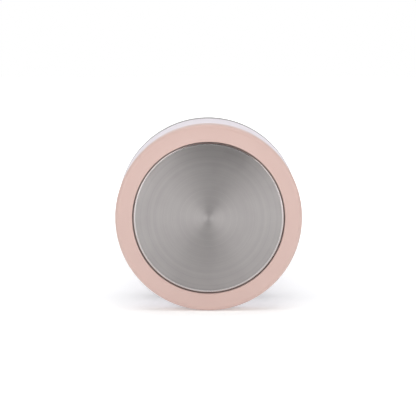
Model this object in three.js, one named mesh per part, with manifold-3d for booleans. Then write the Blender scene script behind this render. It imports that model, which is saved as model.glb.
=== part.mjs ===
// Vacuum-insulated stainless-steel baby bottle of about 200 ml, standing on its base boot.
// Frame: millimetres, +Z up along the bottle's axis, origin at the centre of the resting face.
// The pieces are turned about three.js's own Y axis, so the groups below count heights along Y;
// the exported group is turned once, at the end, to bring that axis to +Z.
import * as THREE from "three";
import { mergeVertices } from "three/addons/utils/BufferGeometryUtils.js";
import Module from "manifold-3d";

const wasm = await Module();
wasm.setup();

// ---- Driving dimensions, in millimetres ----

const GAP = 0.3; // clearance between neighbouring pieces
const ROUND = 48; // facets around the large pieces
const FINE_ROUND = 32; // facets around the small pieces

// Body: a straight foot that tapers in an S-curve up to the collar.
const BODY_R = 33;
const SHOULDER_R = 21.2;
const TAPER_START = 28;
const TAPER_END = 117;
const SHELL_WALL = 0.8;
const VACUUM_GAP = 3;
const FLASK_WALL = 0.6;

// Base: a soft boot around a spun steel plate.
const BOOT_H = 8;
const BOOT_WALL = 1.5;
const BOOT_FLOOR = 2.2;
const BOOT_OPENING_R = 26.9;
const BOOT_FILLET = 1.6;
const PLATE_R = 26.6;
const PLATE_WALL = 0.8;
const PLATE_CROWN = 0.7; // how far the middle of the plate stands out from its edge
const PLATE_RECESS = 0.9; // from the resting face to the plate, where its edge starts to round off
const PLATE_EDGE = 1.3; // radius of the roll-off at the plate's edge
const PLATE_ROLL = 30; // degrees that the edge rolls off before the skirt

// Steel band let into the body where the taper starts.
const TRIM_BOTTOM = 30.5;
const TRIM_H = 5.6;
const TRIM_OUT_R = 33.05;
const TRIM_IN_R = 32.3;

// Neck and screw thread.
const NECK_R = 16.8;
const NECK_BORE_R = 15.6;
const NECK_RIM = 131;
const PITCH = 4;
const TURNS = 1.6;
const THREAD_DEPTH = 1.2;
const THREAD_START = 122;

// Collar, nipple and hood.
const COLLAR_BOTTOM = 118.3;
const COLLAR_R = 20.6;
const COLLAR_BORE_R = 18.5;
const COLLAR_H = 21.4;
const COLLAR_TOP_WALL = 2.3;
const COLLAR_OPENING_R = 14.3;
const LEDGE_H = 15.4; // height on the collar of the ledge that carries the hood
const SPIGOT_R = 19.4; // collar above the ledge, inside the hood
const RIBS = 36;
const RIB_R = 0.7;
const HOOD_R = 21.2;
const HOOD_WALL = 1.2;
const HOOD_H = 54;
const HOOD_STRAIGHT_H = 28;
const VENT_RING_R = 17;

// ---- Helpers ----

/** A closed ring or disc turned about the Y axis from [radius, height] points, outer side upwards. */
function turned(points, facets = ROUND) {
  const outline = points.map((p) => (p.isVector2 ? p : new THREE.Vector2(...p)));
  const closesOnAxis = outline[0].x === 0 && outline.at(-1).x === 0;
  return new THREE.LatheGeometry(closesOnAxis ? outline : [...outline, outline[0]], facets);
}

/** Points of a rounded corner: an arc about (x, y) from one angle to another, in degrees. */
function corner(x, y, radius, from, to, steps = 3) {
  const { degToRad } = THREE.MathUtils;
  const arc = new THREE.EllipseCurve(x, y, radius, radius, degToRad(from), degToRad(to), to < from);
  return arc.getPoints(steps);
}

/** A manifold-3d solid of a closed geometry. */
function solid(geometry) {
  const bare = geometry.clone().deleteAttribute("normal").deleteAttribute("uv");
  const merged = mergeVertices(bare);
  const mesh = new wasm.Mesh({
    numProp: 3,
    vertProperties: merged.attributes.position.array,
    triVerts: new Uint32Array(merged.index.array),
  });
  return new wasm.Manifold(mesh);
}

/** The geometry of a manifold-3d solid. */
function geometryOf(manifold) {
  const { vertProperties, triVerts } = manifold.getMesh();
  return new THREE.BufferGeometry()
    .setAttribute("position", new THREE.BufferAttribute(vertProperties, 3))
    .setIndex(new THREE.BufferAttribute(triVerts, 1));
}

/** A right-handed thread ridge on a wall of radius root, with its crest inside or outside it. */
function threadRidge(root, crest, startHeight) {
  const stepsPerTurn = 32;
  const steps = Math.round(TURNS * stepsPerTurn);
  const rampSteps = 4;
  const embed = 0.3 * Math.sign(root - crest);
  const rootHalf = 1;
  const crestHalf = 0.45;
  const positions = [];
  for (let i = 0; i <= steps; i++) {
    const angle = (2 * Math.PI * i) / stepsPerTurn;
    const height = startHeight + (PITCH * i) / stepsPerTurn;
    const ramp = Math.min(1, (i + 0.5) / rampSteps, (steps - i + 0.5) / rampSteps);
    const tip = THREE.MathUtils.lerp(root, crest, ramp);
    const section = [
      [root + embed, -rootHalf],
      [tip, -crestHalf],
      [tip, crestHalf],
      [root + embed, rootHalf],
    ];
    for (const [r, h] of section) {
      positions.push(r * Math.sin(angle), height + h, r * Math.cos(angle));
    }
  }
  const faces = [[0, 1, 2], [0, 2, 3]];
  for (let i = 0; i < steps; i++) {
    for (let j = 0; j < 4; j++) {
      const [a, b] = [4 * i + j, 4 * i + ((j + 1) % 4)];
      faces.push([a, a + 4, b + 4], [a, b + 4, b]);
    }
  }
  const last = 4 * steps;
  faces.push([last, last + 2, last + 1], [last, last + 3, last + 2]);
  if (crest < root) faces.forEach((face) => face.reverse());
  const vertices = new Float32Array(positions);
  const mesh = new wasm.Mesh({
    numProp: 3,
    vertProperties: vertices,
    triVerts: new Uint32Array(faces.flat()),
  });
  return new wasm.Manifold(mesh);
}

/** The outer radius of the body at a height. */
function bodyRadius(height) {
  const taper = THREE.MathUtils.smoothstep(height, TAPER_START, TAPER_END);
  return BODY_R - (BODY_R - SHOULDER_R) * taper;
}

/** Points that follow the body at a distance inside it, between two heights. */
function alongBody(inset, from, to, steps) {
  const heightAt = (i) => THREE.MathUtils.lerp(from, to, i / steps);
  return Array.from({ length: steps + 1 }, (_, i) => [
    bodyRadius(heightAt(i)) - inset,
    heightAt(i),
  ]);
}

const material = (color, roughness, metalness = 0) =>
  new THREE.MeshStandardMaterial({ color, roughness, metalness });

const pinkSilicone = material(0xdabcb4, 0.6);
const pinkPlastic = material(0xdcbcb4, 0.4);
const lilacCoat = material(0xe6e0ea, 0.45);
const spunSteel = material(0xa9a6a4, 0.35, 1);
const bareSteel = material(0x9c9a99, 0.3, 1);
const copper = material(0xb87352, 0.3, 1);
const clearPlastic = material(0xeef0f2, 0.1);
const milkySilicone = material(0xefe9e2, 0.35);
const whitePlastic = material(0xf2f2f0, 0.4);
const glassBead = material(0x4a4f54, 0.2);
const getterMetal = material(0x6d6f72, 0.7, 1);

function piece(name, geometry, surface) {
  const mesh = new THREE.Mesh(geometry, surface);
  mesh.name = name;
  return mesh;
}

// ---- Base ----

const FOOT_R = BODY_R - BOOT_WALL - GAP; // the shell inside the boot

function baseBoot() {
  const wallTop = 0.5;
  return turned([
    [BOOT_OPENING_R + 0.4, 0],
    ...corner(BODY_R - BOOT_FILLET, BOOT_FILLET, BOOT_FILLET, -90, 0, 4),
    ...corner(BODY_R - wallTop, BOOT_H - wallTop, wallTop, 0, 90, 2),
    [BODY_R - BOOT_WALL, BOOT_H],
    [BODY_R - BOOT_WALL, BOOT_FLOOR],
    [BOOT_OPENING_R, BOOT_FLOOR],
    [BOOT_OPENING_R, 0.4],
  ]);
}

/** The plate that shows in the boot: slightly crowned, with a rounded edge and a skirt. */
function basePlate() {
  const crownR = PLATE_R - PLATE_EDGE * Math.sin(THREE.MathUtils.degToRad(PLATE_ROLL));
  const skirtTop = 4.8;
  const crown = (r) => PLATE_RECESS - PLATE_CROWN * (1 - (r / crownR) ** 4);
  const rings = [0, 9, 15, 19.5, 23];
  return turned([
    ...rings.map((r) => [r, crown(r)]),
    ...corner(crownR, PLATE_RECESS + PLATE_EDGE, PLATE_EDGE, 270, 270 + PLATE_ROLL, 3),
    [PLATE_R, skirtTop],
    [PLATE_R - PLATE_WALL, skirtTop],
    [PLATE_R - PLATE_WALL, PLATE_RECESS + PLATE_WALL],
    ...rings.toReversed().map((r) => [r, crown(r) + PLATE_WALL]),
  ]);
}

/** The pressed bottom that closes the vacuum, with a well for the getter. */
function vacuumBase() {
  const outerR = FOOT_R - SHELL_WALL - GAP;
  const skirtBottom = BOOT_FLOOR + GAP + SHELL_WALL + GAP;
  const web = 8.2;
  const well = 6.8;
  const wellR = 7.4;
  return turned([
    [0, well - SHELL_WALL],
    [wellR, well - SHELL_WALL],
    [wellR + 1.4, web - SHELL_WALL],
    [outerR - SHELL_WALL, web - SHELL_WALL],
    [outerR - SHELL_WALL, skirtBottom],
    [outerR, skirtBottom],
    ...corner(outerR - 1, web - 1, 1, 0, 90, 2),
    [wellR + 1, web],
    [wellR - 0.4, well],
    [0, well],
  ]);
}

/** The glass bead that seals the evacuation hole, under the well. */
function sealBead() {
  return turned([[0, 4.9], [1.6, 5.1], [2.2, 5.7], [0, 5.7]], FINE_ROUND);
}

function getter() {
  return turned([[0, 0], [4.6, 0], [5, 0.4], [5, 1.8], [4.6, 2.2], [0, 2.2]], FINE_ROUND);
}

const base = new THREE.Group();
base.add(piece("base_boot", baseBoot(), pinkSilicone));
base.add(piece("base_plate", basePlate(), spunSteel));
base.add(piece("vacuum_base", vacuumBase(), bareSteel));
base.add(piece("seal_bead", sealBead(), glassBead));
const getterPill = piece("getter", getter(), getterMetal);
getterPill.position.y = 7.1;
base.add(getterPill);

// ---- Vacuum body ----

function outerShell() {
  const footBottom = BOOT_FLOOR + GAP;
  const stepY = BOOT_H + GAP;
  const grooveR = TRIM_IN_R - GAP;
  const grooveBottom = TRIM_BOTTOM - GAP;
  const grooveTop = TRIM_BOTTOM + TRIM_H + GAP;
  const lipR = NECK_R + GAP;
  const top = TAPER_END + 0.7;
  const bend = 1.2;
  const flangeR = PLATE_R + 0.6;
  const outside = alongBody(0, grooveTop, top - bend, 11);
  const inside = alongBody(SHELL_WALL, grooveTop, top - bend, 6).toReversed().slice(1);
  return turned([
    [flangeR, footBottom],
    ...corner(FOOT_R - 1, footBottom + 1, 1, -90, 0, 2),
    [FOOT_R, stepY],
    ...corner(BODY_R - 0.4, stepY + 0.4, 0.4, -90, 0, 2),
    [BODY_R, grooveBottom],
    [grooveR, grooveBottom],
    [grooveR, grooveTop],
    ...outside,
    ...corner(SHOULDER_R - bend, top - bend, bend, 0, 90, 3),
    [lipR, top],
    [lipR, top - SHELL_WALL],
    [SHOULDER_R - bend, top - SHELL_WALL],
    ...inside,
    [grooveR - SHELL_WALL, grooveTop],
    [grooveR - SHELL_WALL, grooveBottom - SHELL_WALL],
    [BODY_R - SHELL_WALL, grooveBottom - SHELL_WALL],
    [BODY_R - SHELL_WALL, stepY + SHELL_WALL],
    [FOOT_R - SHELL_WALL, stepY + SHELL_WALL],
    [FOOT_R - SHELL_WALL, footBottom + SHELL_WALL],
    [flangeR, footBottom + SHELL_WALL],
  ]);
}

function trimRing() {
  const edge = 0.25;
  const top = TRIM_BOTTOM + TRIM_H;
  return turned([
    [TRIM_IN_R, TRIM_BOTTOM],
    [TRIM_OUT_R - edge, TRIM_BOTTOM],
    [TRIM_OUT_R, TRIM_BOTTOM + edge],
    [TRIM_OUT_R, top - edge],
    [TRIM_OUT_R - edge, top],
    [TRIM_IN_R, top],
  ]);
}

const FLASK_INSET = SHELL_WALL + VACUUM_GAP;

/** The vessel that holds the milk: a drawn steel flask with a rolled, threaded neck. */
function innerFlask() {
  const floor = 11.2;
  const bend = 5;
  const wallR = BODY_R - FLASK_INSET;
  const neckStart = 108;
  const neckFoot = 114;
  const outside = alongBody(FLASK_INSET, floor + bend + 10, neckStart, 7);
  const inside = outside.toReversed().map(([r, h]) => [r - FLASK_WALL, h]);
  const body = turned([
    [0, floor],
    ...corner(wallR - bend, floor + bend, bend, -90, 0, 4),
    ...outside,
    [NECK_R, neckFoot],
    ...corner(NECK_R - 0.5, NECK_RIM - 0.5, 0.5, 0, 90, 2),
    ...corner(NECK_BORE_R + 0.4, NECK_RIM - 0.4, 0.4, 90, 180, 2),
    [NECK_BORE_R, neckFoot],
    ...inside,
    ...corner(wallR - bend, floor + bend, bend - FLASK_WALL, 0, -90, 4),
    [0, floor + FLASK_WALL],
  ]);
  const ridge = threadRidge(NECK_R, NECK_R + THREAD_DEPTH, THREAD_START);
  return geometryOf(solid(body).add(ridge));
}

/** Reflective foil wrapped round the flask, inside the vacuum. */
function copperFoil() {
  const clear = 0.5;
  const thickness = 0.35;
  const outside = alongBody(FLASK_INSET - clear - thickness, 20, 102, 5);
  const inside = outside.toReversed().map(([r, h]) => [r - thickness, h]);
  return turned([...outside, ...inside]);
}

const flask = new THREE.Group();
flask.add(piece("outer_shell", outerShell(), lilacCoat));
flask.add(piece("trim_ring", trimRing(), bareSteel));
flask.add(piece("inner_flask", innerFlask(), bareSteel));
flask.add(piece("copper_foil", copperFoil(), copper));

// ---- Vent, nipple, collar and hood ----

const MEMBRANE_H = 1.1;
const VENT_RING_H = 1.8;
const FLANGE_H = 2.2;
const membraneBottom = NECK_RIM + GAP;
const ventRingBottom = membraneBottom + MEMBRANE_H + GAP;
const nippleBottom = ventRingBottom + VENT_RING_H + GAP;
const hoodBottom = COLLAR_BOTTOM + LEDGE_H + GAP;

/** A soft washer on the neck's rim, whose thin inner lip bends down to let air in. */
function ventMembrane() {
  return turned([
    [12.6, MEMBRANE_H - 0.5],
    [15.2, MEMBRANE_H - 0.7],
    [15.4, 0],
    [VENT_RING_R, 0],
    [VENT_RING_R, MEMBRANE_H],
    [12.6, MEMBRANE_H],
  ]);
}

/** A stiff ring over the membrane, with an air groove and a hole at each vent. */
function antiColicRing() {
  const vents = 6;
  const ventAt = 14.2;
  const ring = solid(
    turned([
      [8.5, 0.3],
      [8.8, 0],
      [VENT_RING_R, 0],
      [VENT_RING_R, VENT_RING_H],
      [8.8, VENT_RING_H],
      [8.5, VENT_RING_H - 0.3],
    ]),
  );
  const hole = new THREE.CylinderGeometry(0.6, 0.6, 3 * VENT_RING_H, 8);
  hole.translate(ventAt, 0, 0);
  const groove = new THREE.BoxGeometry(6, 1, 1.2);
  groove.translate(ventAt + 2.4, VENT_RING_H, 0);
  const cutter = solid(hole).add(solid(groove));
  let made = ring;
  for (let i = 0; i < vents; i++) {
    made = made.subtract(cutter.rotate([0, (360 * i) / vents, 0]));
  }
  return geometryOf(made);
}

/** The teat: a clamped flange, a bead above the collar, and a dome that narrows to a bulb. */
function nipple() {
  const holeR = 0.5;
  const outside = new THREE.SplineCurve(
    [
      [14.8, 6], [12.9, 9], [9.2, 14.5], [6.7, 20], [5.8, 26.5],
      [6.7, 33.5], [5.7, 39.4], [3, 42], [holeR, 42.6],
    ].map((p) => new THREE.Vector2(...p)),
  );
  const inside = new THREE.SplineCurve(
    [
      [holeR, 40.9], [2, 40.4], [4.1, 38], [5, 33.4], [4.2, 26.8],
      [5.1, 20.4], [7.4, 15], [11, 9.4], [12.4, 6],
    ].map((p) => new THREE.Vector2(...p)),
  );
  return turned(
    [
      [12.4, 0],
      [17.1, 0],
      [17.4, 0.3],
      [17.4, 1.7],
      [16.9, FLANGE_H],
      [13.9, FLANGE_H],
      [13.9, 5.1],
      [14.8, 5.3],
      ...outside.getPoints(14),
      ...inside.getPoints(10),
    ],
    FINE_ROUND,
  );
}

/** The screw ring that clamps the nipple: ribbed skirt, spigot for the hood, internal thread. */
function collar() {
  const beadY = 18.2;
  const underside = COLLAR_H - COLLAR_TOP_WALL;
  const body = turned([
    [COLLAR_BORE_R + 0.4, 0],
    [COLLAR_R - 0.5, 0],
    [COLLAR_R, 0.5],
    [COLLAR_R, LEDGE_H - 0.3],
    [COLLAR_R - 0.3, LEDGE_H],
    [SPIGOT_R, LEDGE_H],
    [SPIGOT_R, beadY - 0.6],
    [SPIGOT_R + 0.4, beadY],
    [SPIGOT_R, beadY + 0.6],
    ...corner(SPIGOT_R - 1.4, COLLAR_H - 1.4, 1.4, 0, 90, 3),
    [COLLAR_OPENING_R + 0.5, COLLAR_H],
    [COLLAR_OPENING_R, COLLAR_H - 0.5],
    [COLLAR_OPENING_R, underside],
    [COLLAR_BORE_R, underside],
    [COLLAR_BORE_R, 0.4],
  ]);
  const crestR = COLLAR_BORE_R - THREAD_DEPTH - 0.1;
  const threadY = THREAD_START - PITCH / 2 - COLLAR_BOTTOM;
  let made = solid(body).add(threadRidge(COLLAR_BORE_R, crestR, threadY));
  const ribH = LEDGE_H - 2.4;
  const rib = solid(new THREE.CylinderGeometry(RIB_R, RIB_R, ribH, 6));
  for (let i = 0; i < RIBS; i++) {
    const placed = rib.translate([COLLAR_R, 1 + ribH / 2, 0]);
    made = made.add(placed.rotate([0, (360 * i) / RIBS, 0]));
  }
  return geometryOf(made);
}

/** The clear travel hood: a skirt that snaps over the spigot, a dome, and a socket for the plug. */
function hood() {
  const innerR = SPIGOT_R + 0.7;
  const shoulderR = HOOD_R - 1;
  const domeH = HOOD_H - HOOD_STRAIGHT_H;
  const socketR = 3.1;
  const socketWall = 1.2;
  const socketBottom = 49;
  const dome = (radius, height, from, to, steps) =>
    new THREE.EllipseCurve(0, HOOD_STRAIGHT_H, radius, height, from, to, to < from).getPoints(steps);
  const insideR = shoulderR - HOOD_WALL;
  const insideH = domeH - HOOD_WALL;
  const socketAngle = Math.acos((socketR + socketWall) / insideR);
  return turned([
    [innerR, 0],
    [HOOD_R - 0.4, 0],
    [HOOD_R, 0.4],
    [HOOD_R, 4],
    ...dome(shoulderR, domeH, 0, Math.PI / 2, 8).slice(0, -1),
    [0, HOOD_H],
    [0, HOOD_H - HOOD_WALL - 0.2],
    [socketR, HOOD_H - HOOD_WALL - 0.2],
    [socketR, socketBottom],
    [socketR + socketWall, socketBottom],
    ...dome(insideR, insideH, socketAngle, 0, 6),
    [innerR, 4],
    [innerR, 2.2],
    [innerR - 0.15, 1.6],
    [innerR, 1],
  ]);
}

/** A soft plug in the hood's socket that covers the nipple's tip. */
function tipSeal() {
  return turned(
    [
      [0, 0.9],
      [2.4, 0.7],
      [3.2, 0],
      [4, 0],
      [4.2, 0.4],
      [4.2, 4.4],
      [3.8, 4.8],
      [2.8, 4.8],
      [2.8, 8],
      [2.4, 8.4],
      [0, 8.4],
    ],
    FINE_ROUND,
  );
}

function at(height, mesh) {
  mesh.position.y = height;
  return mesh;
}

const teatSet = new THREE.Group();
teatSet.add(at(membraneBottom, piece("vent_membrane", ventMembrane(), milkySilicone)));
teatSet.add(at(ventRingBottom, piece("anti_colic_ring", antiColicRing(), whitePlastic)));
teatSet.add(at(nippleBottom, piece("nipple", nipple(), milkySilicone)));

const screwRing = new THREE.Group();
screwRing.position.y = COLLAR_BOTTOM;
screwRing.add(piece("collar", collar(), pinkPlastic));

const travelHood = new THREE.Group();
travelHood.position.y = hoodBottom;
travelHood.add(piece("hood", hood(), clearPlastic));
travelHood.add(at(43.9, piece("tip_seal", tipSeal(), milkySilicone)));

const bottle = new THREE.Group();
bottle.add(base, flask, teatSet, screwRing, travelHood);
bottle.rotation.x = Math.PI / 2;

export default bottle;
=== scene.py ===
"""An insulated baby bottle: its visible pieces, finishes, stage and camera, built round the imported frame.

The bottle stands on its boot with its axis on Z. The camera looks at the underside, with the bottle
lying on its +Y side on a pale floor.
"""

import math

import bpy
from bpy.props import FloatProperty, FloatVectorProperty, IntProperty, PointerProperty
from bpy.types import Operator, Panel, PropertyGroup
from mathutils import Matrix, Vector


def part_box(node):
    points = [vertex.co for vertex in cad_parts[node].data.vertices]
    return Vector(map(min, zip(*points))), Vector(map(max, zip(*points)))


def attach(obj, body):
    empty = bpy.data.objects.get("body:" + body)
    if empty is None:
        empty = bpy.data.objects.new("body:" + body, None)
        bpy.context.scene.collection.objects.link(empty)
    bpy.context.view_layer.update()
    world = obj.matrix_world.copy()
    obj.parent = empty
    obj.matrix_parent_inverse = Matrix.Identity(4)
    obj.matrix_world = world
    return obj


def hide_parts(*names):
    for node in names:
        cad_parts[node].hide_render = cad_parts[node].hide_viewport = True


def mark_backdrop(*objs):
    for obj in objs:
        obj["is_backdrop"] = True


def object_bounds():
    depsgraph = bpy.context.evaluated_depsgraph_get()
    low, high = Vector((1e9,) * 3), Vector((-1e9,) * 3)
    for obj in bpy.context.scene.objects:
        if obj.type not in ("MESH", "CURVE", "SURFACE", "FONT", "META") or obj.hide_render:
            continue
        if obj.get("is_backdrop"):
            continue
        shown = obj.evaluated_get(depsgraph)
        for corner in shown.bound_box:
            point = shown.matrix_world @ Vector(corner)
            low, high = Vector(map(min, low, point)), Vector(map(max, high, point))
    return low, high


bl_info = {
    "name": "Insulated baby bottle",
    "version": (1, 0, 0),
    "blender": (4, 5, 0),
    "location": "3D View > Sidebar > Bottle",
    "description": "Builds the pieces, finishes and stage of an insulated baby bottle",
    "category": "Add Mesh",
}

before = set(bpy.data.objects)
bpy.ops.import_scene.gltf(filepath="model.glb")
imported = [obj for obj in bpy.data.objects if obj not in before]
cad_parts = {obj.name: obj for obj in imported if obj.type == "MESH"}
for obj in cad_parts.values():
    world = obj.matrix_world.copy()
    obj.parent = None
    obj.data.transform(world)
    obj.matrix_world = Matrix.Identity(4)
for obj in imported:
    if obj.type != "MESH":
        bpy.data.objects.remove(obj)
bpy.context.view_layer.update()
MM = 0.001


# ---- Sizes and colours that a user would change ----


def linear(red, green, blue):
    """A screen colour from 0 to 255 as the linear colour that shaders use."""
    values = (red / 255, green / 255, blue / 255)
    return tuple(v / 12.92 if v <= 0.04045 else ((v + 0.055) / 1.055) ** 2.4 for v in values)


def length(name, millimetres, description):
    """A length property whose default is given in millimetres."""
    return FloatProperty(
        name=name, default=millimetres * MM, description=description, unit="LENGTH", subtype="DISTANCE"
    )


def colour(name, value, description):
    return FloatVectorProperty(
        name=name, default=value, description=description, subtype="COLOR", min=0, max=1
    )


def amount(name, value, description):
    return FloatProperty(name=name, default=value, description=description, min=0)


class BottleSizes(PropertyGroup):
    """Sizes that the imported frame's boxes don't give."""

    gap: length("Gap", 0.3, "Clearance between neighbouring pieces")
    boot_wall: length("Boot wall", 1.5, "Thickness of the boot's side")
    boot_floor: length("Boot floor", 2.2, "Thickness of the ring that the bottle stands on")
    boot_opening: length("Boot opening", 26.9, "Radius of the hole that shows the plate")
    boot_fillet: length("Boot fillet", 1.6, "Rounding of the boot's lower edge")
    plate_crown: length("Plate crown", 0.7, "How far the middle of the plate stands out from its edge")
    plate_recess: length("Plate recess", 0.9, "Depth of the plate where its edge starts to round off")
    plate_edge: length("Plate edge", 1.3, "Radius of the polished roll-off at the plate's edge")
    plate_roll: FloatProperty(
        name="Plate roll",
        default=math.radians(30),
        description="How far the plate's edge rolls off before the skirt",
        subtype="ANGLE",
    )
    plate_wall: length("Plate wall", 0.8, "Thickness of the base plate")
    shell_wall: length("Shell wall", 0.8, "Thickness of the coated shell")
    shell_flange: length("Shell flange", 27.2, "Radius of the hole in the shell round the plate")
    shell_groove: length("Shell groove", 32, "Radius of the groove that the steel band lies in")
    band_inside: length("Band inside", 32.3, "Inner radius of the steel band")
    shoulder: length("Shoulder", 21.2, "Radius of the body under the collar")
    taper_start: length("Taper start", 28, "Height where the straight foot starts to taper")
    taper_end: length("Taper end", 117, "Height where the taper reaches the shoulder")
    vacuum_gap: length("Vacuum gap", 3, "Space between the shell and the flask")
    flask_wall: length("Flask wall", 0.6, "Thickness of the inner flask")
    neck_radius: length("Neck radius", 16.8, "Outside of the threaded neck")
    neck_bore: length("Neck bore", 15.6, "Inside of the threaded neck")
    pitch: length("Thread pitch", 4, "Rise of the thread in one turn")
    neck_thread: length("Neck thread", 122, "Height where the neck's thread starts")
    collar_thread: length("Collar thread", 120, "Height where the collar's thread starts")
    neck_thread_depth: length("Neck thread depth", 1.2, "How far the neck's thread stands out")
    collar_thread_depth: length("Collar thread depth", 1.3, "How far the collar's thread stands in")
    thread_turns: FloatProperty(name="Thread turns", default=1.6, description="Turns of the thread")
    collar_bore: length("Collar bore", 18.5, "Inside of the collar at its thread")
    collar_opening: length("Collar opening", 14.3, "Hole in the collar for the nipple")
    spigot: length("Spigot", 19.4, "Radius of the collar inside the hood")
    grip_ribs: IntProperty(name="Grip ribs", default=36, description="Ribs round the collar", min=3)
    hood_wall: length("Hood wall", 1.2, "Thickness of the clear hood")


class BottleColours(PropertyGroup):
    """Base colours of the finishes."""

    boot: colour("Boot", linear(203, 174, 166), "Soft pink silicone")
    collar: colour("Collar", linear(211, 182, 175), "Pink moulded plastic")
    coat: colour("Coat", linear(230, 223, 230), "Lilac-white powder coat")
    plate: colour("Plate", linear(176, 171, 170), "Spun steel of the base plate")
    steel: colour("Steel", linear(172, 169, 168), "Steel of the band, neck and flask")
    silicone: colour("Silicone", linear(244, 240, 234), "Milky silicone of the nipple and seals")
    plastic: colour("Plastic", linear(242, 241, 238), "White plastic of the vent ring")
    hood: colour("Hood", linear(244, 246, 249), "Clear plastic of the travel hood")
    copper: colour("Copper", linear(190, 118, 86), "Reflective foil in the vacuum")


class BottleStage(PropertyGroup):
    """Camera, floor and lights."""

    camera_distance: length("Camera distance", 745, "From the middle of the base to the camera")
    camera_tilt: FloatProperty(
        name="Camera tilt",
        default=math.radians(6.67),
        description="How far the camera stands above the bottle's axis",
        subtype="ANGLE",
    )
    camera_turn: FloatProperty(
        name="Camera turn",
        default=math.radians(0.36),
        description="How far the camera stands to the left of the bottle's axis",
        subtype="ANGLE",
    )
    aim_above_base: length("Aim above", 3.62, "How far above the base's middle the camera aims")
    aim_aside: length("Aim aside", -0.24, "How far to the right of the base's middle the camera aims")
    lens: FloatProperty(name="Lens", default=183.2, description="Focal length", unit="CAMERA")
    floor_size: length("Floor size", 3000, "Side of each floor")
    floor_glow: amount("Floor glow", 0.26, "Light from the lying floor itself")
    standing_glow: amount("Standing glow", 0.6, "Light from the standing floor itself")
    left_power: amount("Left power", 1.76, "Watts of the left softbox")
    right_power: amount("Right power", 1.47, "Watts of the right softbox")
    top_power: amount("Top power", 4.2, "Watts of the overhead light")
    front_power: amount("Front power", 0.2, "Watts of the fill by the camera")
    ambient: amount("Ambient", 0.35, "Light from the room")
    dark_room: amount("Dark room", 0.07, "Room as steel mirrors it, towards the camera's side")
    bright_room: amount("Bright room", 0.8, "Room as steel mirrors it, towards the hood's side")


def sizes():
    return bpy.context.scene.bottle_sizes


def colours():
    return bpy.context.scene.bottle_colours


def stage_settings():
    return bpy.context.scene.bottle_stage


# ---- Modelling tools ----

ROUND = 144  # steps round a large turned piece
FINE_ROUND = 96  # steps round a small turned piece
MERGE = 0.002 * MM
SMOOTH_ANGLE = math.radians(35)


def arc(x, z, radius, start, end, steps=6):
    """Points of an arc about (x, z) from one angle to another, in degrees."""
    angles = [math.radians(start + (end - start) * i / steps) for i in range(steps + 1)]
    return [(x + radius * math.cos(a), z + radius * math.sin(a)) for a in angles]


def spline(a, b, c, d, t):
    """A Catmull-Rom value from b at t = 0 to c at t = 1."""
    square = (2 * a - 5 * b + 4 * c - d) * t**2
    cube = (3 * b - a - 3 * c + d) * t**3
    return 0.5 * (2 * b + (c - a) * t + square + cube)


def curve(control, steps):
    """Points of a smooth Catmull-Rom curve through the control points."""
    ends = [control[0], *control, control[-1]]
    points = [control[0]]
    for p0, p1, p2, p3 in zip(ends, ends[1:], ends[2:], ends[3:]):
        for i in range(1, steps + 1):
            t = i / steps
            points.append(tuple(spline(*values, t) for values in zip(p0, p1, p2, p3)))
    return points


def draw_outline(name, points):
    """An object whose mesh is a chain of edges through (radius, height) points, drawn point by point."""
    bpy.ops.object.select_all(action="DESELECT")
    bpy.ops.mesh.primitive_plane_add(size=MM)
    made = bpy.context.object
    made.name = made.data.name = name
    bpy.ops.object.mode_set(mode="EDIT")
    bpy.ops.mesh.select_all(action="SELECT")
    bpy.ops.mesh.merge(type="CENTER")
    bpy.ops.transform.translate(value=(points[0][0], 0, points[0][1]))
    for (r0, z0), (r1, z1) in zip(points, points[1:]):
        step = (r1 - r0, 0, z1 - z0)
        bpy.ops.mesh.extrude_vertices_move(TRANSFORM_OT_translate={"value": step})
    bpy.ops.object.mode_set(mode="OBJECT")
    return made


def turned(name, points, steps=ROUND):
    """A closed piece spun about Z from an outline that ends where it starts, or on the axis."""
    made = draw_outline(name, points)
    bpy.ops.object.mode_set(mode="EDIT")
    bpy.ops.mesh.select_all(action="SELECT")
    bpy.ops.mesh.spin(steps=steps, angle=2 * math.pi, center=(0, 0, 0), axis=(0, 0, 1))
    bpy.ops.mesh.select_all(action="SELECT")
    bpy.ops.mesh.remove_doubles(threshold=MERGE)
    bpy.ops.mesh.normals_make_consistent(inside=False)
    bpy.ops.object.mode_set(mode="OBJECT")
    return made


def only(piece):
    """Makes one piece the selected and active object."""
    bpy.ops.object.select_all(action="DESELECT")
    piece.select_set(True)
    bpy.context.view_layer.objects.active = piece


def apply_modifier(piece, kind, **settings):
    """Adds a modifier with its settings and applies it."""
    only(piece)
    bpy.ops.object.modifier_add(type=kind)
    modifier = piece.modifiers[-1]
    for key, value in settings.items():
        setattr(modifier, key, value)
    bpy.ops.object.modifier_apply(modifier=modifier.name)


def round_edges(piece, width, segments=3, angle=40):
    apply_modifier(
        piece,
        "BEVEL",
        width=width,
        segments=segments,
        limit_method="ANGLE",
        angle_limit=math.radians(angle),
    )


def join(main, *others):
    """Joins the others into the main piece."""
    only(main)
    for other in others:
        other.select_set(True)
    bpy.ops.object.join()
    return main


def finish_piece(piece, body, nodes, material):
    """Smooths a finished piece, gives it its material and puts it in the place of CAD nodes."""
    only(piece)
    bpy.ops.object.shade_smooth_by_angle(angle=SMOOTH_ANGLE)
    piece.data.materials.clear()
    piece.data.materials.append(material)
    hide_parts(*nodes)
    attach(piece, body)


def coat_node(node, material):
    """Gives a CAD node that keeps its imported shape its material."""
    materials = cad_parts[node].data.materials
    materials.clear()
    materials.append(material)


def body_radius(z):
    """The outer radius of the body at a height."""
    s = sizes()
    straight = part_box("outer_shell")[1].x
    t = min(1.0, max(0.0, (z - s.taper_start) / (s.taper_end - s.taper_start)))
    return straight - (straight - s.shoulder) * t * t * (3 - 2 * t)


def along_body(inset, start, end, steps):
    """Points that follow the body at a distance inside it, from one height to another."""
    heights = [start + (end - start) * i / steps for i in range(steps + 1)]
    return [(body_radius(z) - inset, z) for z in heights]


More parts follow.
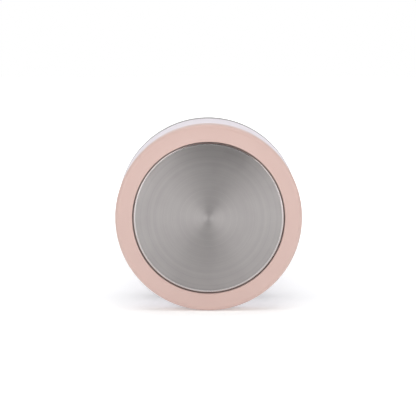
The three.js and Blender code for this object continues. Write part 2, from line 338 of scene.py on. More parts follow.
def thread_ridge(name, root, crest, start_height, turns, steps_per_turn=48):
    """A right-handed thread ridge from a wall at radius root to its crest, with tapered ends."""
    s = sizes()
    outward = 1 if crest > root else -1
    buried = root - 0.3 * MM * outward
    foot, tip = 1.0 * MM, 0.45 * MM
    section = [
        (buried, start_height - foot),
        (crest, start_height - tip),
        (crest, start_height + tip),
        (buried, start_height + foot),
        (buried, start_height - foot),
    ]
    made = draw_outline(name, section)
    bpy.ops.object.mode_set(mode="EDIT")
    bpy.ops.mesh.select_all(action="SELECT")
    bpy.ops.mesh.remove_doubles(threshold=MERGE)
    bpy.ops.object.mode_set(mode="OBJECT")
    steps = round(turns * steps_per_turn)
    apply_modifier(
        made,
        "SCREW",
        axis="Z",
        angle=2 * math.pi * turns,
        screw_offset=s.pitch * turns,
        steps=steps,
        render_steps=steps,
        use_merge_vertices=False,
    )
    ramp = 6
    corners = 4
    for i in range(ramp):
        share = (i + 0.5) / ramp
        for ring in (i, steps - i):
            for vertex in made.data.vertices[corners * ring : corners * (ring + 1)]:
                flat = Vector((vertex.co.x, vertex.co.y, 0))
                depth = flat.length - buried
                vertex.co += flat.normalized() * depth * (share - 1)
    bpy.ops.object.mode_set(mode="EDIT")
    bpy.ops.mesh.select_mode(type="EDGE")
    bpy.ops.mesh.select_all(action="DESELECT")
    bpy.ops.mesh.select_non_manifold()
    bpy.ops.mesh.edge_face_add()
    bpy.ops.mesh.select_all(action="SELECT")
    bpy.ops.mesh.normals_make_consistent(inside=False)
    bpy.ops.mesh.select_mode(type="VERT")
    bpy.ops.object.mode_set(mode="OBJECT")
    return made


# ---- Shader groups ----


def new_group(name, inputs, outputs):
    """A shader node group with float inputs (name, default), vector input first, and float outputs."""
    group = bpy.data.node_groups.new(name, "ShaderNodeTree")
    group.interface.new_socket("Vector", in_out="INPUT", socket_type="NodeSocketVector")
    for socket_name, default in inputs:
        socket = group.interface.new_socket(socket_name, in_out="INPUT", socket_type="NodeSocketFloat")
        socket.default_value = default
    for socket_name in outputs:
        group.interface.new_socket(socket_name, in_out="OUTPUT", socket_type="NodeSocketFloat")
    start = group.nodes.new("NodeGroupInput")
    end = group.nodes.new("NodeGroupOutput")
    return group, start, end


def math_node(tree, operation, first, second=None):
    """A math node whose inputs are sockets or numbers; returns its output socket."""
    node = tree.nodes.new("ShaderNodeMath")
    node.operation = operation
    for socket, value in zip(node.inputs, (first, second)):
        if isinstance(value, bpy.types.NodeSocket):
            tree.links.new(value, socket)
        elif value is not None:
            socket.default_value = value
    return node.outputs[0]


def noise(tree, vector, scale, detail=2.0, dimensions="3D", w=None):
    """A noise texture's factor; scale is a socket or a number."""
    node = tree.nodes.new("ShaderNodeTexNoise")
    node.noise_dimensions = dimensions
    node.inputs["Detail"].default_value = detail
    if isinstance(scale, bpy.types.NodeSocket):
        tree.links.new(scale, node.inputs["Scale"])
    else:
        node.inputs["Scale"].default_value = scale
    if vector is not None:
        tree.links.new(vector, node.inputs["Vector"])
    if w is not None:
        tree.links.new(w, node.inputs["W"])
    return node.outputs["Fac"]


def radius_of(tree, vector):
    """Distance from the Z axis, as a socket."""
    flat = tree.nodes.new("ShaderNodeVectorMath")
    flat.operation = "MULTIPLY"
    flat.inputs[1].default_value = (1, 1, 0)
    tree.links.new(vector, flat.inputs[0])
    size = tree.nodes.new("ShaderNodeVectorMath")
    size.operation = "LENGTH"
    tree.links.new(flat.outputs["Vector"], size.inputs[0])
    return size.outputs["Value"]


def grain_group():
    """Fine surface grain with slow patches of wear or handling over it."""
    group, start, end = new_group(
        "Fine grain", [("Grain Size", 0.4 * MM), ("Patch Size", 15 * MM)], ["Grain", "Patches"]
    )
    vector = start.outputs["Vector"]
    grain_scale = math_node(group, "DIVIDE", 1.0, start.outputs["Grain Size"])
    patch_scale = math_node(group, "DIVIDE", 1.0, start.outputs["Patch Size"])
    group.links.new(noise(group, vector, grain_scale, 3), end.inputs["Grain"])
    group.links.new(noise(group, vector, patch_scale, 4), end.inputs["Patches"])
    return group


def turning_group():
    """Concentric tool lines about the Z axis, coarse and fine."""
    group, start, end = new_group(
        "Turning lines", [("Coarse Pitch", 1.4 * MM), ("Fine Pitch", 0.3 * MM)], ["Coarse", "Fine"]
    )
    radius = radius_of(group, start.outputs["Vector"])
    for pitch, result in (("Coarse Pitch", "Coarse"), ("Fine Pitch", "Fine")):
        place = math_node(group, "DIVIDE", radius, start.outputs[pitch])
        group.links.new(noise(group, None, 1.0, 2, "1D", place), end.inputs[result])
    return group


def brushing_group():
    """Long thin brushing lines round the Z axis on a side wall."""
    group, start, end = new_group("Band brushing", [("Line Width", 0.15 * MM)], ["Lines"])
    stretch = group.nodes.new("ShaderNodeVectorMath")
    stretch.operation = "MULTIPLY"
    stretch.inputs[1].default_value = (0.03, 0.03, 1.0)
    group.links.new(start.outputs["Vector"], stretch.inputs[0])
    scale = math_node(group, "DIVIDE", 1.0, start.outputs["Line Width"])
    group.links.new(noise(group, stretch.outputs["Vector"], scale, 3), end.inputs["Lines"])
    return group


GROUP_MAKERS = {
    "Fine grain": grain_group,
    "Turning lines": turning_group,
    "Band brushing": brushing_group,
}


def place_group(tree, name, vector, **values):
    """Places a shader group in a material with its own values; keys use _ for spaces."""
    made = bpy.data.node_groups.get(name) or GROUP_MAKERS[name]()
    node = tree.nodes.new("ShaderNodeGroup")
    node.node_tree = made
    tree.links.new(vector, node.inputs["Vector"])
    for key, value in values.items():
        node.inputs[key.replace("_", " ").title()].default_value = value
    return node.outputs


# ---- Materials ----


class Finish:
    """A material in the making: its node tree, its Principled shader and its object coordinates."""

    def __init__(self, name, base, roughness, metallic=0.0):
        self.material = bpy.data.materials.new(name)
        self.material.use_nodes = True
        self.tree = self.material.node_tree
        self.shader = self.tree.nodes["Principled BSDF"]
        self.shader.inputs["Metallic"].default_value = metallic
        self.shader.inputs["Roughness"].default_value = roughness
        self.base = (*base, 1)
        self.shader.inputs["Base Color"].default_value = self.base
        coordinates = self.tree.nodes.new("ShaderNodeTexCoord")
        mapping = self.tree.nodes.new("ShaderNodeMapping")
        self.tree.links.new(coordinates.outputs["Object"], mapping.inputs["Vector"])
        self.vector = mapping.outputs["Vector"]

    def set(self, values):
        """Sets sockets of the shader by their names."""
        for key, value in values.items():
            self.shader.inputs[key].default_value = value

    def tint(self, mask, shade, low=0.3, high=0.7):
        """Mixes the base colour towards base times shade where the mask goes from low to high."""
        ramp = self.tree.nodes.new("ShaderNodeMapRange")
        ramp.inputs["From Min"].default_value = low
        ramp.inputs["From Max"].default_value = high
        self.tree.links.new(mask, ramp.inputs["Value"])
        mix = self.tree.nodes.new("ShaderNodeMix")
        mix.data_type = "RGBA"
        source = self.shader.inputs["Base Color"]
        if source.is_linked:
            self.tree.links.new(source.links[0].from_socket, mix.inputs["A"])
            darker = self.tree.nodes.new("ShaderNodeMix")
            darker.data_type = "RGBA"
            darker.blend_type = "MULTIPLY"
            darker.inputs["Factor"].default_value = 1
            darker.inputs["B"].default_value = (*shade, 1)
            self.tree.links.new(source.links[0].from_socket, darker.inputs["A"])
            self.tree.links.new(darker.outputs["Result"], mix.inputs["B"])
        else:
            mix.inputs["A"].default_value = self.base
            mix.inputs["B"].default_value = (*(b * s for b, s in zip(self.base, shade)), 1)
        self.tree.links.new(ramp.outputs["Result"], mix.inputs["Factor"])
        self.tree.links.new(mix.outputs["Result"], source)

    def rough(self, mask, low, high):
        """Drives the roughness from low to high with a mask."""
        ramp = self.tree.nodes.new("ShaderNodeMapRange")
        ramp.inputs["From Min"].default_value = 0.3
        ramp.inputs["From Max"].default_value = 0.7
        ramp.inputs["To Min"].default_value = low
        ramp.inputs["To Max"].default_value = high
        self.tree.links.new(mask, ramp.inputs["Value"])
        self.tree.links.new(ramp.outputs["Result"], self.shader.inputs["Roughness"])

    def bump(self, height, distance, strength=1.0):
        """Adds a bump on top of any that is there."""
        node = self.tree.nodes.new("ShaderNodeBump")
        node.inputs["Distance"].default_value = distance
        node.inputs["Strength"].default_value = strength
        self.tree.links.new(height, node.inputs["Height"])
        normal = self.shader.inputs["Normal"]
        if normal.is_linked:
            self.tree.links.new(normal.links[0].from_socket, node.inputs["Normal"])
        self.tree.links.new(node.outputs["Normal"], normal)


def moulded(name, base, roughness, grain_size, shade):
    """A moulded finish with fine grain and faint patches, for silicone, plastic or powder coat."""
    finish = Finish(name, base, roughness)
    grain = place_group(finish.tree, "Fine grain", finish.vector, grain_size=grain_size)
    finish.tint(grain["Patches"], shade)
    finish.rough(grain["Patches"], roughness - 0.05, roughness + 0.05)
    finish.bump(grain["Grain"], 0.02 * MM, 0.6)
    return finish


def boot_material():
    finish = moulded("boot silicone", colours().boot, 0.34, 0.25 * MM, (0.985, 0.975, 0.972))
    finish.set({"Sheen Weight": 0.1, "Specular IOR Level": 0.5})
    return finish.material


def collar_material():
    finish = moulded("collar plastic", colours().collar, 0.4, 0.3 * MM, (0.985, 0.975, 0.972))
    return finish.material


def coat_material():
    finish = moulded("powder coat", colours().coat, 0.42, 0.5 * MM, (0.985, 0.98, 0.99))
    return finish.material


def plate_material():
    """Spun steel: radial spread of the highlights, tool lines, and a polished edge whose base colour is
    brightened as a painted highlight.
    """
    finish = Finish("spun steel", colours().plate, 0.36, 1.0)
    lines = place_group(finish.tree, "Turning lines", finish.vector)
    finish.tint(lines["Coarse"], (0.95, 0.95, 0.955))
    finish.tint(lines["Fine"], (0.94, 0.94, 0.94))
    patches = place_group(finish.tree, "Fine grain", finish.vector, patch_size=9 * MM)["Patches"]
    finish.tint(patches, (0.95, 0.945, 0.95), 0.4, 0.7)
    radius = radius_of(finish.tree, finish.vector)
    polish_and_highlight_start, polish_and_highlight_end = 25.75 * MM, 26.0 * MM
    # painted highlight: the base colour is brightened 1.45 times on the polished rim so that it shines
    # brighter; the lower roughness there is the real polish
    finish.tint(radius, (1.45, 1.45, 1.45), polish_and_highlight_start, polish_and_highlight_end)
    edge = finish.tree.nodes.new("ShaderNodeMapRange")
    edge.inputs["From Min"].default_value = polish_and_highlight_start + 0.05 * MM
    edge.inputs["From Max"].default_value = polish_and_highlight_end
    edge.inputs["To Min"].default_value = 0.35
    edge.inputs["To Max"].default_value = 0.22
    finish.tree.links.new(radius, edge.inputs["Value"])
    finish.tree.links.new(edge.outputs["Result"], finish.shader.inputs["Roughness"])
    finish.bump(lines["Coarse"], 0.012 * MM)
    finish.set({"Anisotropic": 0.75, "Anisotropic Rotation": 0.25})
    return finish.material


def steel_material(name, line_width, roughness):
    """Steel brushed round the Z axis."""
    finish = Finish(name, colours().steel, roughness, 1.0)
    lines = place_group(finish.tree, "Band brushing", finish.vector, line_width=line_width)["Lines"]
    finish.tint(lines, (0.88, 0.88, 0.89))
    finish.rough(lines, roughness - 0.04, roughness + 0.08)
    finish.bump(lines, 0.01 * MM)
    finish.set({"Anisotropic": 0.5, "Anisotropic Rotation": 0.25})
    return finish.material


def silicone_material():
    """Milky silicone, made once and shared by the nipple and the seals."""
    made = bpy.data.materials.get("milky silicone")
    if made:
        return made
    finish = moulded("milky silicone", colours().silicone, 0.34, 0.4 * MM, (0.98, 0.975, 0.965))
    finish.set({"Transmission Weight": 0.45, "IOR": 1.41, "Subsurface Weight": 0.2})
    finish.set({"Subsurface Scale": 2 * MM})
    return finish.material


def plastic_material():
    return moulded("white plastic", colours().plastic, 0.38, 0.3 * MM, (0.98, 0.98, 0.975)).material


def hood_material():
    """Clear moulded plastic that lets shadow rays through, so that light reaches the nipple. Its base colour
    darkens towards grazing angles, a painted dark edge.
    """
    finish = Finish("clear plastic", colours().hood, 0.06)
    grain = place_group(finish.tree, "Fine grain", finish.vector, grain_size=6 * MM)
    finish.rough(grain["Patches"], 0.03, 0.1)
    finish.bump(grain["Grain"], 0.03 * MM, 0.5)
    finish.set({"Transmission Weight": 1.0, "IOR": 1.46})
    tree = finish.tree
    # painted shade: the base colour darkens to about half towards grazing angles, standing in for the dark
    # rim that the clear plastic's edges show
    edge_shade_weight = tree.nodes.new("ShaderNodeLayerWeight")
    edge_shade_weight.inputs["Blend"].default_value = 0.5
    finish.tint(edge_shade_weight.outputs["Facing"], (0.45, 0.47, 0.5), 0.3, 1.0)
    output = tree.nodes["Material Output"]
    path = tree.nodes.new("ShaderNodeLightPath")
    clear = tree.nodes.new("ShaderNodeBsdfTransparent")
    clear.inputs["Color"].default_value = (0.93, 0.93, 0.94, 1)
    mix = tree.nodes.new("ShaderNodeMixShader")
    tree.links.new(path.outputs["Is Shadow Ray"], mix.inputs["Fac"])
    tree.links.new(finish.shader.outputs["BSDF"], mix.inputs[1])
    tree.links.new(clear.outputs["BSDF"], mix.inputs[2])
    tree.links.new(mix.outputs["Shader"], output.inputs["Surface"])
    return finish.material


def foil_material():
    finish = Finish("copper foil", colours().copper, 0.25, 1.0)
    grain = place_group(finish.tree, "Fine grain", finish.vector, grain_size=2 * MM)
    finish.tint(grain["Patches"], (0.85, 0.8, 0.78))
    finish.rough(grain["Grain"], 0.18, 0.36)
    finish.bump(grain["Grain"], 0.08 * MM)
    return finish.material


def bead_material():
    finish = Finish("sealing glass", (0.12, 0.14, 0.15), 0.15)
    grain = place_group(finish.tree, "Fine grain", finish.vector, grain_size=0.5 * MM, patch_size=2 * MM)
    finish.tint(grain["Patches"], (0.7, 0.72, 0.75))
    finish.rough(grain["Grain"], 0.1, 0.25)
    return finish.material


def getter_material():
    finish = Finish("sintered getter", (0.2, 0.2, 0.21), 0.75, 0.8)
    grain = place_group(finish.tree, "Fine grain", finish.vector, grain_size=0.2 * MM, patch_size=2 * MM)
    finish.tint(grain["Grain"], (0.6, 0.6, 0.6))
    finish.bump(grain["Grain"], 0.05 * MM)
    return finish.material


# ---- Pieces ----


class BOTTLE_OT_boot(Operator):
    """Soft boot round the foot, open in the middle"""

    bl_idname = "bottle.boot"
    bl_label = "Boot"

    def execute(self, context):
        s = sizes()
        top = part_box("base_boot")[1]
        lip = 0.5 * MM
        inner = top.x - s.boot_wall
        outline = [
            (s.boot_opening + lip, 0),
            *arc(top.x - s.boot_fillet, s.boot_fillet, s.boot_fillet, -90, 0, 10),
            *arc(top.x - lip, top.z - lip, lip, 0, 90, 5),
            (inner + 0.2 * MM, top.z),
            (inner, top.z - 0.2 * MM),
            (inner, s.boot_floor),
            (s.boot_opening + 0.2 * MM, s.boot_floor),
            (s.boot_opening, s.boot_floor - 0.2 * MM),
            *arc(s.boot_opening + lip, lip, lip, 180, 270, 5),
        ]
        boot = turned("soft_boot", outline)
        finish_piece(boot, "flask", ["base_boot"], boot_material())
        return {"FINISHED"}


class BOTTLE_OT_plate(Operator):
    """Spun base plate: slightly crowned, with a polished rounded edge and a skirt"""

    bl_idname = "bottle.plate"
    bl_label = "Base plate"

    def execute(self, context):
        s = sizes()
        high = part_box("base_plate")[1]
        wall = s.plate_wall
        roll = math.degrees(s.plate_roll)
        crown_radius = high.x - s.plate_edge * math.sin(s.plate_roll)
        rings = 20

        def crown(i, lift):
            r = crown_radius * i / rings
            return (r, s.plate_recess - s.plate_crown * (1 - (i / rings) ** 4) + lift)

        outline = [
            *(crown(i, 0) for i in range(rings)),
            *arc(crown_radius, s.plate_recess + s.plate_edge, s.plate_edge, 270, 270 + roll, 8),
            (high.x, high.z),
            (high.x - wall, high.z),
            (high.x - wall, s.plate_recess + wall),
            *(crown(i, wall) for i in range(rings - 1, -1, -1)),
        ]
        plate = turned("spun_plate", outline)
        finish_piece(plate, "flask", ["base_plate"], plate_material())
        return {"FINISHED"}


class BOTTLE_OT_shell(Operator):
    """Coated outer shell, with its foot step, band groove, taper and shoulder"""

    bl_idname = "bottle.shell"
    bl_label = "Outer shell"

    def execute(self, context):
        s = sizes()
        boot_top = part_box("base_boot")[1]
        shell_low, shell_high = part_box("outer_shell")
        band_low, band_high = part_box("trim_ring")
        foot = boot_top.x - s.boot_wall - s.gap
        flange = s.shell_flange
        groove = s.shell_groove
        groove_low, groove_high = band_low.z - s.gap, band_high.z + s.gap
        step = boot_top.z + s.gap
        edge = 0.35 * MM
        top = shell_high.z
        bend = 1.2 * MM
        lip = s.neck_radius + s.gap
        wall = s.shell_wall
        outside = along_body(0, groove_high, top - bend, 40)
        inside = along_body(wall, top - bend, groove_high, 20)[:-1]
        outline = [
            (flange, shell_low.z),
            *arc(foot - 1 * MM, shell_low.z + 1 * MM, 1 * MM, -90, 0, 4),
            (foot, step),
            *arc(shell_high.x - edge, step + edge, edge, -90, 0, 4),
            *arc(shell_high.x - edge, groove_low - edge, edge, 0, 90, 4),
            (groove, groove_low),
            (groove, groove_high),
            *outside,
            *arc(s.shoulder - bend, top - bend, bend, 0, 90, 8)[1:],
            (lip, top),
            (lip, top - wall),
            (s.shoulder - bend, top - wall),
            *inside,
            (groove - wall, groove_high),
            (groove - wall, groove_low - wall),
            (shell_high.x - wall, groove_low - wall),
            (shell_high.x - wall, step + wall),
            (foot - wall, step + wall),
            (foot - wall, shell_low.z + wall),
            (flange, shell_low.z + wall),
            (flange, shell_low.z),
        ]
        shell = turned("coated_shell", outline)
        finish_piece(shell, "flask", ["outer_shell"], coat_material())
        return {"FINISHED"}


class BOTTLE_OT_band(Operator):
    """Steel band let into the shell where the taper starts"""

    bl_idname = "bottle.band"
    bl_label = "Steel band"

    def execute(self, context):
        low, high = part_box("trim_ring")
        inner = sizes().band_inside
        crown = 0.12 * MM
        edge = high.x - crown
        outline = [
            (inner, low.z),
            (edge, low.z),
            (high.x, low.z + 0.5 * MM),
            (high.x, high.z - 0.5 * MM),
            (edge, high.z),
            (inner, high.z),
            (inner, low.z),
        ]
        band = turned("steel_band", outline)
        round_edges(band, 0.15 * MM, 3, 12)
        material = steel_material("band steel", 0.2 * MM, 0.24)
        finish_piece(band, "flask", ["trim_ring"], material)
        return {"FINISHED"}


class BOTTLE_OT_flask(Operator):
    """Inner flask with its rolled rim and threaded neck"""

    bl_idname = "bottle.flask"
    bl_label = "Inner flask"

    def execute(self, context):
        s = sizes()
        low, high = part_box("inner_flask")
        bend = 5 * MM
        inset = s.shell_wall + s.vacuum_gap
        wall_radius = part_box("outer_shell")[1].x - inset
        neck_foot = 114 * MM
        start, end = low.z + bend + 10 * MM, 108 * MM
        rim = (s.neck_radius - s.neck_bore) / 2
        outline = [
            (0, low.z),
            *arc(wall_radius - bend, low.z + bend, bend, -90, 0, 8),
            *along_body(inset, start, end, 24),
            (s.neck_radius, neck_foot),
            *arc(s.neck_radius - rim, high.z - rim, rim, 0, 180, 10),
            (s.neck_bore, neck_foot),
            *((r - s.flask_wall, z) for r, z in along_body(inset, end, start, 24)),
            *arc(wall_radius - bend, low.z + bend, bend - s.flask_wall, 0, -90, 8),
            (0, low.z + s.flask_wall),
        ]
        flask = turned("milk_flask", outline)
        crest = s.neck_radius + s.neck_thread_depth
        thread = thread_ridge("neck_thread", s.neck_radius, crest, s.neck_thread, s.thread_turns)
        join(flask, thread)
        material = steel_material("flask steel", 0.3 * MM, 0.3)
        finish_piece(flask, "flask", ["inner_flask"], material)
        return {"FINISHED"}


class BOTTLE_OT_vent(Operator):
    """Soft vent washer and the stiff ring over it"""

    bl_idname = "bottle.vent"
    bl_label = "Vent washer and ring"

    def execute(self, context):
        low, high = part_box("vent_membrane")
        lip = 12.6 * MM
        washer = turned(
            "vent_washer",
            [
                (lip, high.z - 0.5 * MM),
                (lip + 2.6 * MM, high.z - 0.7 * MM),
                (lip + 2.8 * MM, low.z),
                (high.x, low.z),
                (high.x, high.z),
                (lip, high.z),
                (lip, high.z - 0.5 * MM),
            ],
            FINE_ROUND,
        )
        round_edges(washer, 0.1 * MM, 2)
        finish_piece(washer, "nipple_set", ["vent_membrane"], silicone_material())
        coat_node("anti_colic_ring", plastic_material())
        return {"FINISHED"}


class BOTTLE_OT_nipple(Operator):
    """Silicone nipple: clamped flange, bead, dome and bulb with a feeding hole"""

    bl_idname = "bottle.nipple"
    bl_label = "Nipple"

    def execute(self, context):
        low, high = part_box("nipple")
        base = low.z
        hole = 0.5 * MM

        def lifted(points):
            return [(r * MM, base + z * MM) for r, z in points]

        dome = [(14.8, 6), (12.9, 9), (9.2, 14.5), (6.7, 20)]
        bulb = [(5.8, 26.5), (6.7, 33.5), (5.7, 39.4), (3, 42)]
        bulb_inside = [(2, 40.4), (4.1, 38), (5, 33.4), (4.2, 26.8)]
        dome_inside = [(5.1, 20.4), (7.4, 15), (11, 9.4), (12.4, 6)]
        outside = curve(lifted(dome + bulb), 5)
        inside = curve(lifted(bulb_inside + dome_inside), 5)
        outline = [
            *lifted([(12.4, 0), (17.1, 0), (17.4, 0.3), (17.4, 1.7), (16.9, 2.2)]),
            *lifted([(14.2, 2.2), (13.9, 2.5), (13.9, 4.9), (14.2, 5.2), (14.7, 5.4)]),
            *outside,
            (hole + 0.3 * MM, high.z - 0.02 * MM),
            (hole, high.z - 0.3 * MM),
            (hole, base + 40.9 * MM),
            *inside,
            *lifted([(12.4, 0)]),
        ]
        nipple = turned("teat", outline, FINE_ROUND)
        finish_piece(nipple, "nipple_set", ["nipple"], silicone_material())
        return {"FINISHED"}


class BOTTLE_OT_collar(Operator):
    """Screw collar with grip ribs, hood spigot and internal thread"""

    bl_idname = "bottle.collar"
    bl_label = "Collar"

    def execute(self, context):
        s = sizes()
        low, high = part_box("collar")
        base = low.z
        wall = 20.6 * MM
        ledge = base + 15.4 * MM
        underside = high.z - 2.3 * MM
        bead = base + 18.2 * MM
        crown = 1.4 * MM
        rib_low, rib_high = base + 1.2 * MM, ledge - 1.2 * MM
        outline = [
            (s.collar_bore + 0.4 * MM, base),
            *arc(wall - 0.5 * MM, base + 0.5 * MM, 0.5 * MM, -90, 0, 4),
            (wall, rib_low),
            (wall, rib_high),
            *arc(wall - 0.3 * MM, ledge - 0.3 * MM, 0.3 * MM, 0, 90, 3),
            (s.spigot, ledge),
            (s.spigot, bead - 0.6 * MM),
            (s.spigot + 0.3 * MM, bead - 0.3 * MM),
            (s.spigot + 0.4 * MM, bead),
            (s.spigot + 0.3 * MM, bead + 0.3 * MM),
            (s.spigot, bead + 0.6 * MM),
            *arc(s.spigot - crown, high.z - crown, crown, 0, 90, 6),
            *arc(s.collar_opening + 0.5 * MM, high.z - 0.5 * MM, 0.5 * MM, 90, 180, 4),
            (s.collar_opening, underside),
            (s.collar_bore, underside),
            (s.collar_bore, base + 0.4 * MM),
            (s.collar_bore + 0.4 * MM, base),
        ]
        columns_per_rib = 6
        steps = s.grip_ribs * columns_per_rib
        collar = turned("grip_collar", outline, steps)
        self.raise_ribs(collar, wall, rib_low, rib_high, columns_per_rib, steps)
        round_edges(collar, 0.22 * MM, 2, 50)
        crest = s.collar_bore - s.collar_thread_depth
        thread = thread_ridge("collar_thread", s.collar_bore, crest, s.collar_thread, s.thread_turns)
        join(collar, thread)
        finish_piece(collar, "screw_collar", ["collar"], collar_material())
        return {"FINISHED"}

    def raise_ribs(self, collar, wall, rib_low, rib_high, columns_per_rib, steps):
        """Extrudes half of the columns of the side wall outwards."""
        rib_height = 0.55 * MM
        only(collar)
        bpy.ops.object.mode_set(mode="EDIT")
        bpy.ops.mesh.select_mode(type="FACE")
        bpy.ops.mesh.select_all(action="DESELECT")
        bpy.ops.object.mode_set(mode="OBJECT")
        for face in collar.data.polygons:
            centre = face.center
            on_wall = math.hypot(centre.x, centre.y) > wall - 0.1 * MM
            in_band = rib_low < centre.z < rib_high
            column = math.floor(math.atan2(centre.y, centre.x) / (2 * math.pi) * steps)
            face.select = on_wall and in_band and column % columns_per_rib < columns_per_rib / 2
        bpy.ops.object.mode_set(mode="EDIT")
        bpy.ops.mesh.extrude_region_move()
        grow = (wall + rib_height) / wall
        bpy.ops.transform.resize(value=(grow, grow, 1), center_override=(0, 0, 0))
        bpy.ops.mesh.select_mode(type="VERT")
        bpy.ops.object.mode_set(mode="OBJECT")


class BOTTLE_OT_hood(Operator):
    """Clear travel hood with a socket for its soft plug"""

    bl_idname = "bottle.hood"
    bl_label = "Hood and tip seal"

    def execute(self, context):
        s = sizes()
        low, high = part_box("hood")
        base = low.z
        outer = high.x
        inner = s.spigot + 0.7 * MM
        dome_start = base + 28 * MM
        dome_height = high.z - dome_start
        top_radius = outer - 1 * MM
        wall = s.hood_wall
        socket, socket_wall = 3.1 * MM, 1.2 * MM
        socket_end = base + 49 * MM
        ceiling = high.z - wall - 0.2 * MM

        def dome(radius, height, start, end, steps):
            angles = [start + (end - start) * i / steps for i in range(steps + 1)]
            return [(radius * math.cos(a), dome_start + height * math.sin(a)) for a in angles]

        socket_angle = math.acos((socket + socket_wall) / (top_radius - wall))
        outline = [
            (inner, base),
            *arc(outer - 0.4 * MM, base + 0.4 * MM, 0.4 * MM, -90, 0, 4),
            (outer, base + 4 * MM),
            *dome(top_radius, dome_height, 0, math.pi / 2, 24)[:-1],
            (0, high.z),
            (0, ceiling),
            (socket, ceiling),
            (socket, socket_end),
            (socket + socket_wall, socket_end),
            *dome(top_radius - wall, dome_height - wall, socket_angle, 0, 18),
            (inner, base + 4 * MM),
            (inner, base + 2.2 * MM),
            (inner - 0.15 * MM, base + 1.6 * MM),
            (inner, base + 1 * MM),
            (inner, base),
        ]
        hood = turned("clear_hood", outline)
        finish_piece(hood, "travel_hood", ["hood"], hood_material())
        self.make_plug()
        return {"FINISHED"}

    def make_plug(self):
        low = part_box("tip_seal")[0]
        shape = [(0, 0.9), (2.4, 0.7), (3.2, 0), (4, 0), (4.2, 0.4), (4.2, 4.4), (3.8, 4.8), (2.8, 4.8)]
        stem = [(2.8, 8), (2.4, 8.4), (0, 8.4)]
        outline = [(r * MM, low.z + z * MM) for r, z in shape + stem]
        plug = turned("tip_plug", outline, FINE_ROUND)
        round_edges(plug, 0.15 * MM, 2)
        finish_piece(plug, "travel_hood", ["tip_seal"], silicone_material())


class BOTTLE_OT_inside(Operator):
    """Finishes of the pieces inside the vacuum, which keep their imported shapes"""

    bl_idname = "bottle.inside"
    bl_label = "Inside pieces"

    def execute(self, context):
        finishes = {
            "vacuum_base": steel_material("pressed steel", 0.4 * MM, 0.34),
            "seal_bead": bead_material(),
            "getter": getter_material(),
            "copper_foil": foil_material(),
        }
        for node, material in finishes.items():
            coat_node(node, material)
        return {"FINISHED"}


# ---- Stage ----


MIRRORED_DIMMING = 0.45  # share of the floor's glow that steel doesn't mirror


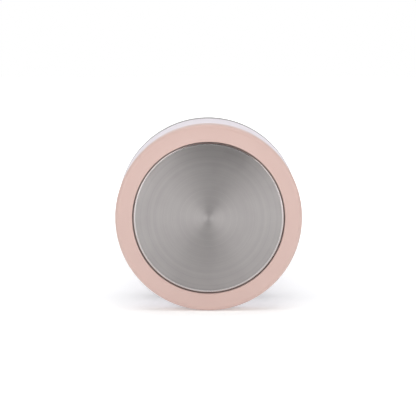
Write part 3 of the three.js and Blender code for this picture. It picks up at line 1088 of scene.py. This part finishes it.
class BOTTLE_OT_stage(Operator):
    """Pale floors, soft lights, white room and the camera"""

    bl_idname = "bottle.stage"
    bl_label = "Stage"

    def execute(self, context):
        self.make_camera(context)
        self.make_floors()
        self.make_lights()
        self.make_room(context)
        return {"FINISHED"}

    def make_camera(self, context):
        """A long lens that looks at the underside, a little above the axis of the lying bottle."""
        st = stage_settings()
        tilt, turn = st.camera_tilt, st.camera_turn
        away = Vector((-math.sin(turn) * math.cos(tilt), -math.sin(tilt), -math.cos(turn) * math.cos(tilt)))
        right = Vector((math.cos(turn), 0, -math.sin(turn)))
        up = away.cross(right)
        location = away * st.camera_distance + up * st.aim_above_base + right * st.aim_aside
        data = bpy.data.cameras.new("camera")
        data.lens = st.lens
        camera = bpy.data.objects.new("camera", data)
        context.scene.collection.objects.link(camera)
        camera.matrix_world = Matrix.LocRotScale(
            location, Matrix((right, up, away)).transposed().to_quaternion(), None
        )
        context.scene.camera = camera

    def make_floors(self):
        """The floor that the bottle lies on, and one that it stands on, each seen from above only."""
        st = stage_settings()
        low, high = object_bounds()
        lying = self.floor("lying_floor", (0, high.y + 0.05 * MM, 0), math.radians(90), st.floor_glow)
        standing = self.floor("standing_floor", (0, 0, low.z - 0.05 * MM), 0, st.standing_glow)
        standing.visible_diffuse = False
        standing.visible_glossy = False
        standing.visible_transmission = False
        standing.visible_shadow = False
        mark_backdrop(lying, standing)

    def floor(self, name, place, turn, glow):
        bpy.ops.object.select_all(action="DESELECT")
        size = stage_settings().floor_size
        bpy.ops.mesh.primitive_plane_add(size=size, location=place, rotation=(turn, 0, 0))
        made = bpy.context.object
        made.name = name
        made.data.materials.append(self.floor_material(name, glow))
        return made

    def floor_material(self, name, near_glow):
        """Matte white that glows far away like a sweep, and clear from behind, so it hides nothing."""
        finish = Finish(name, (0.865, 0.88, 0.88), 0.9)
        finish.set({"Specular IOR Level": 0.0, "Emission Color": (1, 1, 1, 1)})
        tree = finish.tree
        far = tree.nodes.new("ShaderNodeVectorMath")
        far.operation = "LENGTH"
        tree.links.new(finish.vector, far.inputs[0])
        glow = tree.nodes.new("ShaderNodeMapRange")
        glow.inputs["From Min"].default_value = 120 * MM
        glow.inputs["From Max"].default_value = 600 * MM
        glow.inputs["To Min"].default_value = near_glow
        tree.links.new(far.outputs["Value"], glow.inputs["Value"])
        path = tree.nodes.new("ShaderNodeLightPath")
        dimmed = math_node(tree, "MULTIPLY", path.outputs["Is Glossy Ray"], MIRRORED_DIMMING)
        share = math_node(tree, "SUBTRACT", 1.0, dimmed)
        strength = math_node(tree, "MULTIPLY", glow.outputs["Result"], share)
        tree.links.new(strength, finish.shader.inputs["Emission Strength"])
        geometry = tree.nodes.new("ShaderNodeNewGeometry")
        clear = tree.nodes.new("ShaderNodeBsdfTransparent")
        mix = tree.nodes.new("ShaderNodeMixShader")
        tree.links.new(geometry.outputs["Backfacing"], mix.inputs["Fac"])
        tree.links.new(finish.shader.outputs["BSDF"], mix.inputs[1])
        tree.links.new(clear.outputs["BSDF"], mix.inputs[2])
        tree.links.new(mix.outputs["Shader"], tree.nodes["Material Output"].inputs["Surface"])
        return finish.material

    def make_lights(self):
        st = stage_settings()
        target = Vector((0, 0, 20 * MM))
        self.softbox("left_softbox", (-430, -275, -520), target, (460, 640), st.left_power)
        self.softbox("right_softbox", (500, -200, -480), target, (380, 540), st.right_power)
        self.softbox("top_softbox", (0, -800, 40), target, (900, 700), st.top_power, mirrored=False)
        self.softbox("front_fill", (0, -80, -900), target, (600, 200), st.front_power, mirrored=False)

    def softbox(self, name, place, target, size, power, mirrored=True):
        """A rectangular light at a place in millimetres, turned to the target."""
        data = bpy.data.lights.new(name, "AREA")
        data.shape = "RECTANGLE"
        data.size, data.size_y = size[0] * MM, size[1] * MM
        data.energy = power
        light = bpy.data.objects.new(name, data)
        bpy.context.scene.collection.objects.link(light)
        light.visible_glossy = mirrored
        light.visible_transmission = False
        light.visible_camera = False
        light.location = Vector(place) * MM
        light.rotation_mode = "QUATERNION"
        light.rotation_quaternion = (target - light.location).to_track_quat("-Z", "Y")

    def make_room(self, context):
        """White to the camera and through clear plastic, dimmer as a light, and dim in reflections."""
        st = stage_settings()
        world = bpy.data.worlds.new("room")
        world.use_nodes = True
        context.scene.world = world
        tree = world.node_tree
        path = tree.nodes.new("ShaderNodeLightPath")
        seen = math_node(tree, "MAXIMUM", path.outputs["Is Camera Ray"], path.outputs["Is Transmission Ray"])
        direction = tree.nodes.new("ShaderNodeSeparateXYZ")
        tree.links.new(tree.nodes.new("ShaderNodeTexCoord").outputs["Generated"], direction.inputs["Vector"])
        wall = tree.nodes.new("ShaderNodeMapRange")
        wall.inputs["From Max"].default_value = 0.2
        wall.inputs["To Min"].default_value = st.dark_room
        wall.inputs["To Max"].default_value = st.bright_room
        tree.links.new(direction.outputs["Z"], wall.inputs["Value"])
        lit = self.blend_number(tree, path.outputs["Is Glossy Ray"], st.ambient, wall.outputs["Result"])
        strength = self.blend_number(tree, seen, lit, 1.0)
        room = tree.nodes["Background"]
        room.inputs["Color"].default_value = (1, 1, 1, 1)
        tree.links.new(strength, room.inputs["Strength"])
        context.scene.view_settings.view_transform = "Standard"

    def blend_number(self, tree, share, first, second):
        """The first value where share is 0, and the second where it is 1."""
        mix = tree.nodes.new("ShaderNodeMix")
        tree.links.new(share, mix.inputs["Factor"])
        for socket, value in ((mix.inputs["A"], first), (mix.inputs["B"], second)):
            if isinstance(value, bpy.types.NodeSocket):
                tree.links.new(value, socket)
            else:
                socket.default_value = value
        return mix.outputs["Result"]


STEPS = (
    BOTTLE_OT_boot,
    BOTTLE_OT_plate,
    BOTTLE_OT_shell,
    BOTTLE_OT_band,
    BOTTLE_OT_flask,
    BOTTLE_OT_vent,
    BOTTLE_OT_nipple,
    BOTTLE_OT_collar,
    BOTTLE_OT_hood,
    BOTTLE_OT_inside,
    BOTTLE_OT_stage,
)


class BOTTLE_PT_panel(Panel):
    """The steps that build the bottle"""

    bl_label = "Insulated bottle"
    bl_space_type = "VIEW_3D"
    bl_region_type = "UI"
    bl_category = "Bottle"

    def draw(self, context):
        for step in STEPS:
            self.layout.operator(step.bl_idname)


CLASSES = (BottleSizes, BottleColours, BottleStage, *STEPS, BOTTLE_PT_panel)


def register():
    for cls in CLASSES:
        bpy.utils.register_class(cls)
    bpy.types.Scene.bottle_sizes = PointerProperty(type=BottleSizes)
    bpy.types.Scene.bottle_colours = PointerProperty(type=BottleColours)
    bpy.types.Scene.bottle_stage = PointerProperty(type=BottleStage)


def unregister():
    del bpy.types.Scene.bottle_stage
    del bpy.types.Scene.bottle_colours
    del bpy.types.Scene.bottle_sizes
    for cls in reversed(CLASSES):
        bpy.utils.unregister_class(cls)


def main():
    register()
    for step in STEPS:
        category, name = step.bl_idname.split(".")
        getattr(getattr(bpy.ops, category), name)()
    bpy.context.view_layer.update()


if __name__ == "__main__":
    main()
